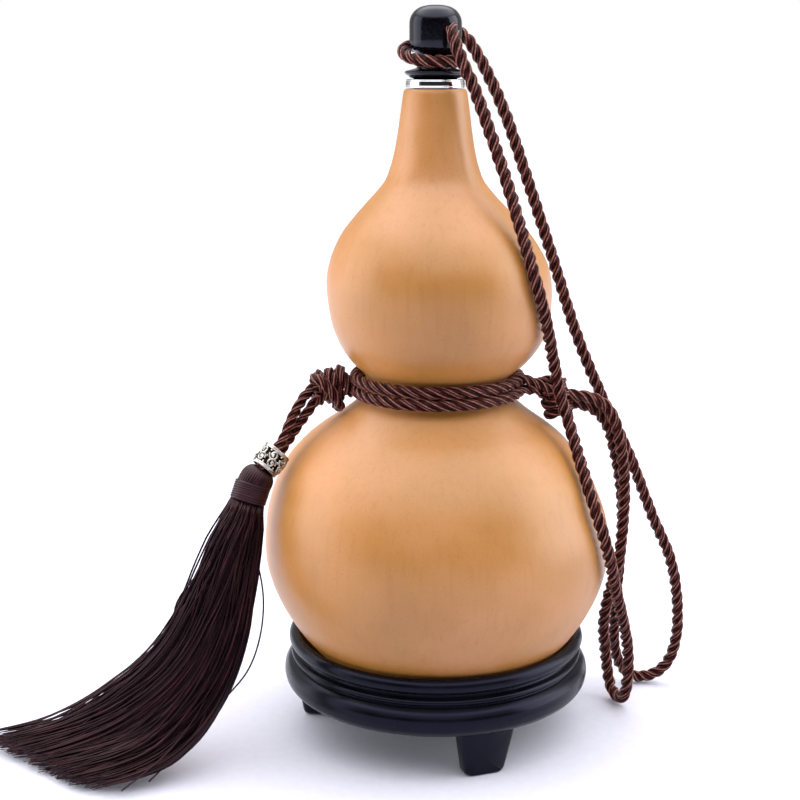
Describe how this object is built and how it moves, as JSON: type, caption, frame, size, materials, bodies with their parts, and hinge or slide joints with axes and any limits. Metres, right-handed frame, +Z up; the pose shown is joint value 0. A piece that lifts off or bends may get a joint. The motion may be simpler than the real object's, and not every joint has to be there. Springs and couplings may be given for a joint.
{
  "type": "dried bottle gourd flask",
  "caption": "Dried double-lobed bottle gourd flask with steel mouth collar, black stopper, twisted cord belt, carry strap and tassel, on a round black footed stand.",
  "frame": {"origin": "on the table top, at the centre of the box of the gourd and its stand", "axes": "+Z up along the gourd from its stand to its stopper, -Y towards the front, +X to the side that the carry strap hangs on"},
  "size_m": [0.2707, 0.1318, 0.2755],
  "materials": {
    "gourd_rind": "dried gourd skin, scraped and polished to a soft sheen",
    "polished_steel": "mirror-polished stainless steel",
    "black_plastic": "black moulded plastic, glossy",
    "twisted_cord": "three-strand twisted satin cord, dark brown",
    "silver_metal": "antiqued silver-coloured metal, pierced",
    "tassel_thread": "fine rayon thread, deep aubergine brown",
    "binding_thread": "wound rayon thread, purple brown",
    "lacquered_wood": "black satin lacquer on turned wood"
  },
  "bodies": {
    "root": {"gourd": "gourd_rind", "mouth_collar": "polished_steel", "stopper": "black_plastic", "stopper_tie": "twisted_cord", "waist_wrap_upper": "twisted_cord", "waist_wrap_lower": "twisted_cord", "left_knot": "twisted_cord", "right_knot": "twisted_cord", "carry_strap": "twisted_cord", "tassel_cord_1": "twisted_cord", "tassel_cord_2": "twisted_cord", "tassel_bead": "silver_metal", "tassel_head": "tassel_thread", "tassel_binding": "binding_thread", "tassel_skirt": "tassel_thread", "stand": "lacquered_wood", "stand_foot_1": "lacquered_wood", "stand_foot_2": "lacquered_wood", "stand_foot_3": "lacquered_wood"}
  },
  "joints": []
}
